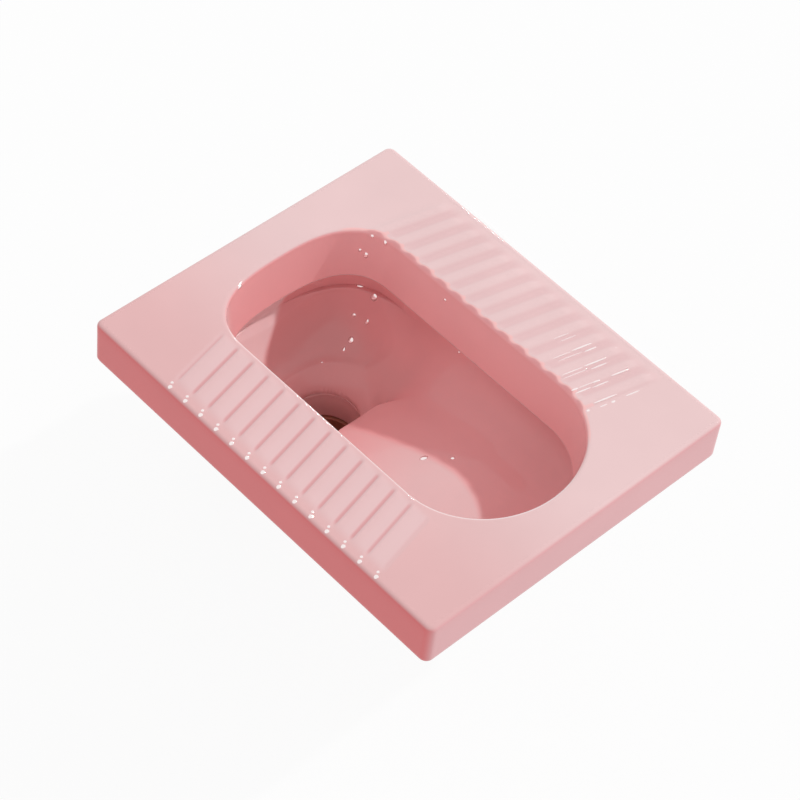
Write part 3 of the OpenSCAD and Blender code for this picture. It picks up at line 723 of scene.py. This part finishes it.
def outside_mask(nt, place, facing, ax, ay, in_mouth):
    """Everything under the deck that faces out of the pan."""
    x, y, z = place
    from_bore = flat_length(nt, x, math_node(nt, "SUBTRACT", y, OUTLET_Y / 1000))
    spigot = both(nt, less(nt, z, SPIGOT_Z), less(nt, facing[2], SPIGOT_FLAT),
                  over(nt, from_bore, SPIGOT_FROM))
    off_mouth = math_node(nt, "SUBTRACT", 1.0, in_mouth)
    outward = math_node(nt, "ADD", math_node(nt, "MULTIPLY", facing[0], x),
                        math_node(nt, "MULTIPLY", facing[1], y))
    off_step = either(nt, over(nt, ax, STEP_X), over(nt, ay, STEP_ENDS))
    outward = both(nt, over(nt, outward, OUTWARD), off_step)
    outside = either(nt, off_mouth, span(nt, facing[2], *DOWNWARD), spigot, outward)
    return both(nt, outside, span(nt, z, *UNDER_DECK_Z))


def glaze(name="rose_glaze", pale=0.0):
    """Glossy rose glaze with bare clay underneath; its colour carries painted light and shade. Pale is the
    share of the pale colour of the painted highlights, for the beads.
    """
    m, nt, bsdf = material(name)
    tc = nt.nodes.new("ShaderNodeTexCoord")
    obj = tc.outputs["Object"]
    facing, place = split(nt, tc.outputs["Normal"]), split(nt, obj)
    nx, ny, nz = facing
    x, y, z = place
    ax, ay = math_node(nt, "ABSOLUTE", x), math_node(nt, "ABSOLUTE", y)
    col = deck_colour(nt, place, facing, ax)
    # the roll round the mouth: its side toward the left and the shallow end keeps the pale top colour farther
    # down, as painted light
    turn_x = math_node(nt, "MULTIPLY", nx, TURN_X)
    turn = math_node(nt, "ADD", turn_x, math_node(nt, "MULTIPLY", ny, TURN_Y))
    lift = math_node(nt, "MULTIPLY", math_node(nt, "MAXIMUM", turn, 0.0), TURN_DROP)
    in_mouth = both(nt, less(nt, ax, MOUTH_X), less(nt, y, MOUTH_BACK), over(nt, y, MOUTH_FRONT))
    on_roll = both(nt, less(nt, ax, ROLL_X), less(nt, ay, ROLL_Y))
    # painted highlight: a pale line along the roll
    line = both(nt, on_roll, span(nt, turn, *LINE_TURN), span(nt, z, *LINE_LOW), span(nt, z, *LINE_HIGH))
    col = mixer(nt, math_node(nt, "MULTIPLY", line, LINE_SHARE), col, PAINTED_HIGHLIGHT)
    # painted shade where the roll on the right turns toward -X, away from the key lamp
    shaded_roll = both(nt, on_roll, span(nt, nx, *EDGE_FACING), span(nt, x, *EDGE_X))
    col = mixer(nt, shaded_roll, col, ROLL_SHADE)
    rolled = both(nt, span(nt, nx, *OVER_FACING), span(nt, x, *OVER_X))
    below = span(nt, math_node(nt, "ADD", z, lift), *ROLL_Z)
    within = both(nt, in_mouth, either(nt, below, rolled))
    col = mixer(nt, within, col, pan_colour(nt, place, facing))
    col = mixer(nt, outside_mask(nt, place, facing, ax, ay, in_mouth), col, TOP_RIGHT)
    # bare clay on the foot and on the deck's underside
    bare = both(nt, span(nt, nz, *BARE_DOWN), over(nt, z, BARE_Z))
    col = mixer(nt, bare, col, BISQUE)
    # the beads: pale colour and metal for painted highlights
    if pale:
        col = mixer(nt, pale, col, PAINTED_HIGHLIGHT)
        bsdf.inputs["Metallic"].default_value = GLINT_METAL
    # slight cloudiness of the glaze
    cloud = span(nt, noise(nt, obj, CLOUD_SCALE, 3.0), *CLOUD_FROM, False)
    v = nt.nodes.new("ShaderNodeVectorMath")
    v.operation = "SCALE"
    link(nt, col, v.inputs[0])
    link(nt, math_node(nt, "MULTIPLY_ADD", cloud, CLOUD_DEPTH, CLOUD_BASE), v.inputs["Scale"])
    link(nt, v.outputs[0], bsdf.inputs["Base Color"])
    rough = ranged(nt, noise(nt, obj, GLOSS_SCALE), *GLOSS_RANGE)
    link(nt, mixer_value(nt, bare, rough, BARE_ROUGH), bsdf.inputs["Roughness"])
    bsdf.inputs["Specular IOR Level"].default_value = GLAZE_SPECULAR
    bumped(nt, bsdf, noise(nt, obj, BUMP_SCALE, 2.0, 0.4), BUMP_STRENGTH, BUMP_HIGH)
    return m


def ranged(nt, value, low, high):
    """A value of 0 to 1, turned into low to high."""
    n = nt.nodes.new("ShaderNodeMapRange")
    n.inputs["To Min"].default_value = low
    n.inputs["To Max"].default_value = high
    link(nt, value, n.inputs["Value"])
    return n.outputs[0]


def bumped(nt, bsdf, height, strength, distance):
    n = nt.nodes.new("ShaderNodeBump")
    n.inputs["Strength"].default_value = strength
    n.inputs["Distance"].default_value = distance
    link(nt, height, n.inputs["Height"])
    link(nt, n.outputs[0], bsdf.inputs["Normal"])


def simple(name, colour, rough, metal=0.0, scale=160.0, vary=0.12):
    """A plain material with faint variation of colour, roughness and surface."""
    m, nt, bsdf = material(name)
    tc = nt.nodes.new("ShaderNodeTexCoord")
    obj = tc.outputs["Object"]
    dark = tuple(c * (1 - vary) for c in colour)
    light = tuple(min(1, c * (1 + vary)) for c in colour)
    link(nt, mixer(nt, noise(nt, obj, scale, 4.0), dark, light), bsdf.inputs["Base Color"])
    rough = ranged(nt, noise(nt, obj, scale * 0.4, 3.0), rough * 0.8, min(1, rough * 1.25))
    link(nt, rough, bsdf.inputs["Roughness"])
    bsdf.inputs["Metallic"].default_value = metal
    bumped(nt, bsdf, noise(nt, obj, scale * 2, 3.0), 0.3, 0.0002)
    return m


GLAZE = glaze()
GLINT_BEAD = glaze("glint_bead", 0.9)
RUBBER = simple("black_rubber", (0.035, 0.035, 0.038), 0.55)
STEEL = simple("brushed_steel", (0.60, 0.61, 0.62), 0.28, 1.0, 300.0)
PIPE = simple("terracotta_pipe", (0.42, 0.155, 0.10), 0.32, 0.0, 60.0, 0.05)
PLUG = simple("plug_white", (0.78, 0.78, 0.75), 0.4, 0.0, 80.0, 0.04)


def background_ray(nt):
    """1 for the rays that show the background: from the camera, a mirror or glass."""
    rays = nt.nodes.new("ShaderNodeLightPath").outputs
    return either(nt, rays["Is Camera Ray"], either(nt, rays["Is Glossy Ray"], rays["Is Transmission Ray"]))


def dress(ob, mat):
    ob.data.materials.clear()
    ob.data.materials.append(mat)


def eased(node, name, width, body):
    """A piece in the place of a CAD node: the same shape with its hard edges rounded off."""
    ob = bpy.data.objects.new(name, nodes[node].data.copy())
    bpy.context.scene.collection.objects.link(ob)
    ob.matrix_world = nodes[node].matrix_world.copy()
    bm = bmesh.new()
    bm.from_mesh(ob.data)
    bmesh.ops.remove_doubles(bm, verts=bm.verts, dist=0.002 * MM)
    bmesh.ops.dissolve_limit(bm, angle_limit=math.radians(1.0), verts=bm.verts, edges=bm.edges)
    hard = [e for e in bm.edges if len(e.link_faces) == 2 and e.calc_face_angle(0.0) > math.radians(35)]
    bmesh.ops.bevel(bm, geom=hard, offset=width * MM, segments=3, profile=0.5, affect="EDGES",
                    clamp_overlap=True)
    bmesh.ops.triangulate(bm, faces=[f for f in bm.faces if len(f.verts) > 4])
    bm.to_mesh(ob.data)
    bm.free()
    finish_mesh(ob)
    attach(ob, body)
    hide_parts(node)
    return ob


def turned(node, name, profile, centre, axis, steps=128, body="root"):
    """A turned piece in the place of a CAD node."""
    v, f = revolve(profile, centre, axis, steps)
    ob = add_mesh(name, v, f, body)
    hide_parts(node)
    return ob


HORN_Z, CONE_Y, BAND_Y = -42.0, 284.0, 290.0
SLEEVE_R, NECK_R, PIPE_R, HORN_FIT_R, BAND_T = 24.6, 20.5, 16.0, 20.1, 0.8
BAND_SLOTS, BAND_STEP, SLOT_HALF, SLOT_ALONG = 16, 7.5, 0.75, (2.2, 6.8)


def make_cone():
    """Rubber connector: a sleeve, a shoulder and a neck with three shallow grooves."""
    profile = [(HORN_FIT_R, 0.4), (HORN_FIT_R + 0.4, 0.0), (SLEEVE_R - 0.9, 0.0), (SLEEVE_R - 0.2, 0.3),
               (SLEEVE_R, 1.0), (SLEEVE_R, 21.0), (SLEEVE_R - 0.3, 22.2), (NECK_R + 0.5, 33.2),
               (NECK_R, 34.4)]
    for k in range(3):
        y = 36.4 + 2.6 * k
        profile += [(NECK_R, y), (NECK_R - 0.7, y + 0.4), (NECK_R - 0.7, y + 1.2), (NECK_R, y + 1.6)]
    profile += [(NECK_R, 45.2), (NECK_R - 0.2, 45.8), (NECK_R - 0.9, 46.0), (PIPE_R + 0.5, 46.0),
                (PIPE_R, 45.5), (PIPE_R, 22.1), (HORN_FIT_R, 22.1)]
    return turned("inlet_cone", "cone_moulded", profile, (0, CONE_Y, HORN_Z), (0, 1, 0))


def make_band():
    """Worm-drive clip: the CAD band and housing with eased edges, and slots for the worm round the band."""
    ob = eased("clip_band", "clip_band_slotted", 0.3, "root")
    tv, tf = [], []
    a, (b0, b1) = SLOT_HALF, SLOT_ALONG
    for k in range(-BAND_SLOTS, BAND_SLOTS + 1):
        t = math.radians(90 + BAND_STEP * k)
        u, w = Vector((math.cos(t), 0, math.sin(t))), Vector((-math.sin(t), 0, math.cos(t)))
        add_box(tv, tf, [tuple(Vector((0, BAND_Y + along, HORN_Z)) + u * r + w * across)
                         for r in (SLEEVE_R - 1.0, SLEEVE_R + BAND_T + 1.0)
                         for across, along in ((-a, b0), (a, b0), (a, b1), (-a, b1))])
    cut(ob, tool_mesh("worm_slots", tv, tf))
    finish_mesh(ob)
    return ob


SEAL_Z = -182.0     # height of the seal's lower end


def make_seal():
    """Rubber seal in the trap's socket: two fins, a rounded brim."""
    inner, outer, fin = 51.05, 53.4, 53.95
    top, brim = 18.05, 58.0
    profile = [(inner, 0.4), (inner + 0.4, 0.0), (outer, 0.0), (fin, 3.0), (outer, 6.0), (outer, 10.0),
               (fin, 13.0), (outer, 16.0), (outer, top), (brim - 0.5, top), (brim, top + 0.5),
               (brim, top + 1.7), (brim - 0.8, top + 2.6), (brim - 1.6, top + 2.75),
               (inner + 0.9, top + 2.75), (inner, top + 2.0)]
    return turned("spigot_seal", "seal_moulded", profile, (0, OUTLET_Y, SEAL_Z), (0, 0, 1))


BEAD_SUNK = 0.15    # share of its height that a bead sits in the glaze


def make_beads():
    """Small bright beads and runs. They stand in for the photo's mirror glints."""
    verts, faces = [], []
    rings, sides = 7, 16
    for at_mm, normal, wide, high, long in BEADS:
        n = Vector(normal).normalized()
        u = (Vector((0, 0, -1)) - n * -n.z)
        u = u.normalized() if u.length > 0.2 else Vector((1, -RIB_SLANT, 0)).normalized()
        w = n.cross(u)
        c = Vector(at_mm) - n * (high * BEAD_SUNK)
        base = len(verts)
        for i in range(1, rings):
            a = math.pi * i / rings
            for k in range(sides):
                b = 2 * math.pi * k / sides
                down, across = long * math.sin(a) * math.cos(b), wide * math.sin(a) * math.sin(b)
                verts.append(tuple(c + u * down + w * across + n * (high * math.cos(a))))
        verts += [tuple(c + n * high), tuple(c - n * high)]
        pole_a, pole_b = len(verts) - 2, len(verts) - 1
        for i in range(rings - 2):
            for k in range(sides):
                j = (k + 1) % sides
                faces.append((base + i * sides + k, base + i * sides + j,
                              base + (i + 1) * sides + j, base + (i + 1) * sides + k))
        for k in range(sides):
            j = (k + 1) % sides
            faces.append((pole_a, base + j, base + k))
            faces.append((pole_b, base + (rings - 2) * sides + k, base + (rings - 2) * sides + j))
    return add_mesh("glint_beads", verts, faces, sharp=80.0)


# painted highlights: bright beads where glints fall
# place, direction it faces, half width, height, half length, in millimetres
BEADS = [
    ((107.9, 199.4, 30.4), (-0.74, -0.58, 0.35), 2.3, 1.4, 2.6),
    ((112.2, 192.4, 24.5), (-0.80, -0.50, 0.35), 3.3, 2.0, 4.9),
    ((121.7, 205.1, -50.0), (-0.50, -0.40, 0.77), 5.5, 1.9, 2.6),
    ((124.9, 182.1, -52.9), (-0.85, -0.25, 0.47), 5.1, 2.6, 6.1),
    ((103.4, 192.8, -81.3), (-0.72, -0.43, 0.54), 3.2, 1.7, 3.0),
    ((109.6, 175.0, -83.2), (-0.80, -0.22, 0.55), 2.6, 1.6, 4.5),
    ((87.6, 178.5, -105.3), (-0.57, -0.24, 0.78), 4.1, 2.2, 5.2),
    ((75.2, 177.2, -112.5), (-0.38, -0.19, 0.90), 2.0, 1.2, 3.8),
    ((41.9, 181.6, -117.5), (-0.03, -0.04, 1.00), 1.7, 1.0, 1.7),
    ((124.0, 65.5, 43.5), (-0.97, -0.05, 0.23), 2.2, 1.2, 2.0),
    ((134.4, 39.4, -36.9), (-0.82, 0.02, 0.57), 2.0, 1.1, 1.9),
    ((1.9, -41.2, -63.8), (-0.05, 0.15, 0.98), 3.5, 1.4, 6.1),
    ((26.9, -65.3, -60.1), (-0.05, 0.12, 0.99), 2.6, 1.2, 3.3),
    ((-67.7, 227.4, 59.6), (0.10, -0.60, 0.79), 5.5, 1.2, 3.2),
    ((-103.0, 210.5, 59.5), (0.30, -0.55, 0.78), 2.3, 1.0, 2.3),
    ((117.6, 190.5, 57.5), (-0.75, -0.40, 0.53), 2.8, 1.2, 3.3),
    ((123.6, 173.0, 57.5), (-0.80, -0.20, 0.56), 2.6, 1.1, 4.9),
]
# two more painted highlights at the outer end of each groove of the left footrest
GROOVE_END = 232.5
for rib in range(RIBS):
    rib_y = RIB_MID_Y + (rib - (RIBS - 1) / 2) * PITCH - (GROOVE_END - RIB_IN) * RIB_SLANT
    BEADS.append(((-234.6, rib_y - 0.5, 61.2), (-0.25, 0.0, 0.97), 3.2, 1.5, 3.2))
    BEADS.append(((-228.6, rib_y + 3.0, 61.9), (0.0, 0.0, 1.0), 2.0, 1.0, 2.2))
# thin bright runs on the right footrest, painted highlights along the ribs: rib counted from the shallow end,
# X from and to, half width
RUNS = [
    (3.95, 167, 192, 0.30), (3.75, 172, 197, 0.30), (2.96, 144, 172, 0.30), (2.98, 171, 202, 0.62),
    (2.78, 148, 185, 0.30), (2.75, 184, 203, 0.62), (1.95, 134, 166, 0.40), (1.96, 165, 198, 0.65),
    (1.80, 133, 171, 0.32), (1.74, 170, 195, 0.55), (0.99, 127, 137, 0.70), (0.98, 136, 158, 0.35),
    (0.97, 155, 167, 0.60), (0.95, 180, 207, 0.62), (0.83, 128, 152, 0.60), (0.79, 151, 176, 0.50),
    (-0.055, 133, 167, 0.65), (-0.25, 120.5, 125, 0.90), (-0.31, 137, 148, 0.45), (-0.31, 153, 159, 0.90),
    (-0.28, 173, 194, 0.50),
]
RUN_WIDER, RUN_H = 2.0, 0.5
for rib, x_from, x_to, half in RUNS:
    mid = (x_from + x_to) / 2
    at_y = RIB_MID_Y - (RIBS - 1) / 2 * PITCH + rib * PITCH - (mid - RIB_IN) * RIB_SLANT
    at_z = DECK_H + float(rib_height(np.array([mid]), np.array([at_y]))[0])
    BEADS.append(((mid, at_y, at_z), (0.0, 0.0, 1.0), half * RUN_WIDER, RUN_H, (x_to - x_from) / 2))

# ---------------------------------------------------------------- the pieces
deck = make_deck()
rim = make_rim()
bowl = make_bowl()
for ob, node in ((deck, "deck"), (rim, "rim"), (bowl, "bowl")):
    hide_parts(node)
    dress(ob, GLAZE)
dress(make_beads(), GLINT_BEAD)
dress(eased("inlet_horn", "horn_glazed", 1.2, "root"), GLAZE)
dress(make_cone(), RUBBER)
dress(make_band(), STEEL)
dress(eased("clip_screw", "screw_turned", 0.25, "root"), STEEL)
dress(eased("trap_bend", "trap_bend_moulded", 1.0, "root"), PIPE)
dress(eased("trap_elbow", "trap_elbow_moulded", 1.0, "root"), PIPE)
dress(make_seal(), RUBBER)
dress(eased("access_plug", "plug_moulded", 0.8, "plug"), PLUG)
dress(nodes["plug_ring"], RUBBER)
nodes["plug_ring"].data.set_sharp_from_angle(angle=math.radians(30))

# ---------------------------------------------------------------- floor
FLOOR_GREY, FLOOR_WHITE = 0.80, 0.93    # its own colour, and the share of plain white that the camera sees
bpy.ops.mesh.primitive_plane_add(size=60.0, location=(0, 0, cad_box[0][2] - 0.5 * MM))
floor = bpy.context.object
floor.name = "floor"
fm, fnt, fb = material("floor_white")
fb.inputs["Base Color"].default_value = (FLOOR_GREY, FLOOR_GREY, FLOOR_GREY, 1)
fb.inputs["Roughness"].default_value = 1.0
fb.inputs["Specular IOR Level"].default_value = 0.0
glow = fnt.nodes.new("ShaderNodeEmission")
glow.inputs["Color"].default_value = (1, 1, 1, 1)
glow.inputs["Strength"].default_value = 1.0
fmix = fnt.nodes.new("ShaderNodeMixShader")
link(fnt, math_node(fnt, "MULTIPLY", background_ray(fnt), FLOOR_WHITE), fmix.inputs[0])
link(fnt, fb.outputs[0], fmix.inputs[1])
link(fnt, glow.outputs[0], fmix.inputs[2])
link(fnt, fmix.outputs[0], fnt.nodes["Material Output"].inputs["Surface"])
dress(floor, fm)

# ---------------------------------------------------------------- world and lamps
WORLD_LIGHT, KEY_LIGHT, EDGE_LIGHT = 0.70, 1.16, 0.10
world = bpy.data.worlds.new("studio")
bpy.context.scene.world = world
world.use_nodes = True
wn = world.node_tree
bg = wn.nodes["Background"]
bg.inputs["Color"].default_value = (1, 1, 1, 1)
bg.inputs["Strength"].default_value = WORLD_LIGHT
white = wn.nodes.new("ShaderNodeBackground")
white.inputs["Color"].default_value = (1, 1, 1, 1)
white.inputs["Strength"].default_value = 1.0
wmix = wn.nodes.new("ShaderNodeMixShader")
link(wn, background_ray(wn), wmix.inputs[0])
link(wn, bg.outputs[0], wmix.inputs[1])
link(wn, white.outputs[0], wmix.inputs[2])
link(wn, wmix.outputs[0], wn.nodes["World Output"].inputs["Surface"])


def sun(name, toward, strength, angle):
    lamp = bpy.data.lights.new(name, "SUN")
    lamp.energy = strength
    lamp.angle = math.radians(angle)
    ob = bpy.data.objects.new(name, lamp)
    bpy.context.scene.collection.objects.link(ob)
    ob.rotation_euler = Vector(toward).to_track_quat("Z", "Y").to_euler()
    return ob


sun("key", KEY_TOWARD, KEY_LIGHT, 2.0)
sun("edge", (0.78, 0.44, 0.44), EDGE_LIGHT, 1.5)

# ---------------------------------------------------------------- camera, as the photograph's
RIGHT = Vector((0.72692601, -0.68092519, 0.08899135))
DOWN = Vector((-0.4808402, -0.59722336, -0.64196337))
FORWARD = Vector((0.49027674, 0.42386925, -0.76155339))
CAMERA_AT = Vector((-1630.2994873, -1401.7107162, 2533.28805747)) * MM
camera = bpy.data.cameras.new("camera")
camera.sensor_width = 36.0
camera.lens = 125.206
camera.clip_end = 100.0
cam_ob = bpy.data.objects.new("camera", camera)
bpy.context.scene.collection.objects.link(cam_ob)
cam_ob.matrix_world = Matrix.Translation(CAMERA_AT) @ Matrix((RIGHT, -DOWN, -FORWARD)).transposed().to_4x4()
bpy.context.scene.camera = cam_ob
bpy.context.scene.view_settings.view_transform = "Standard"
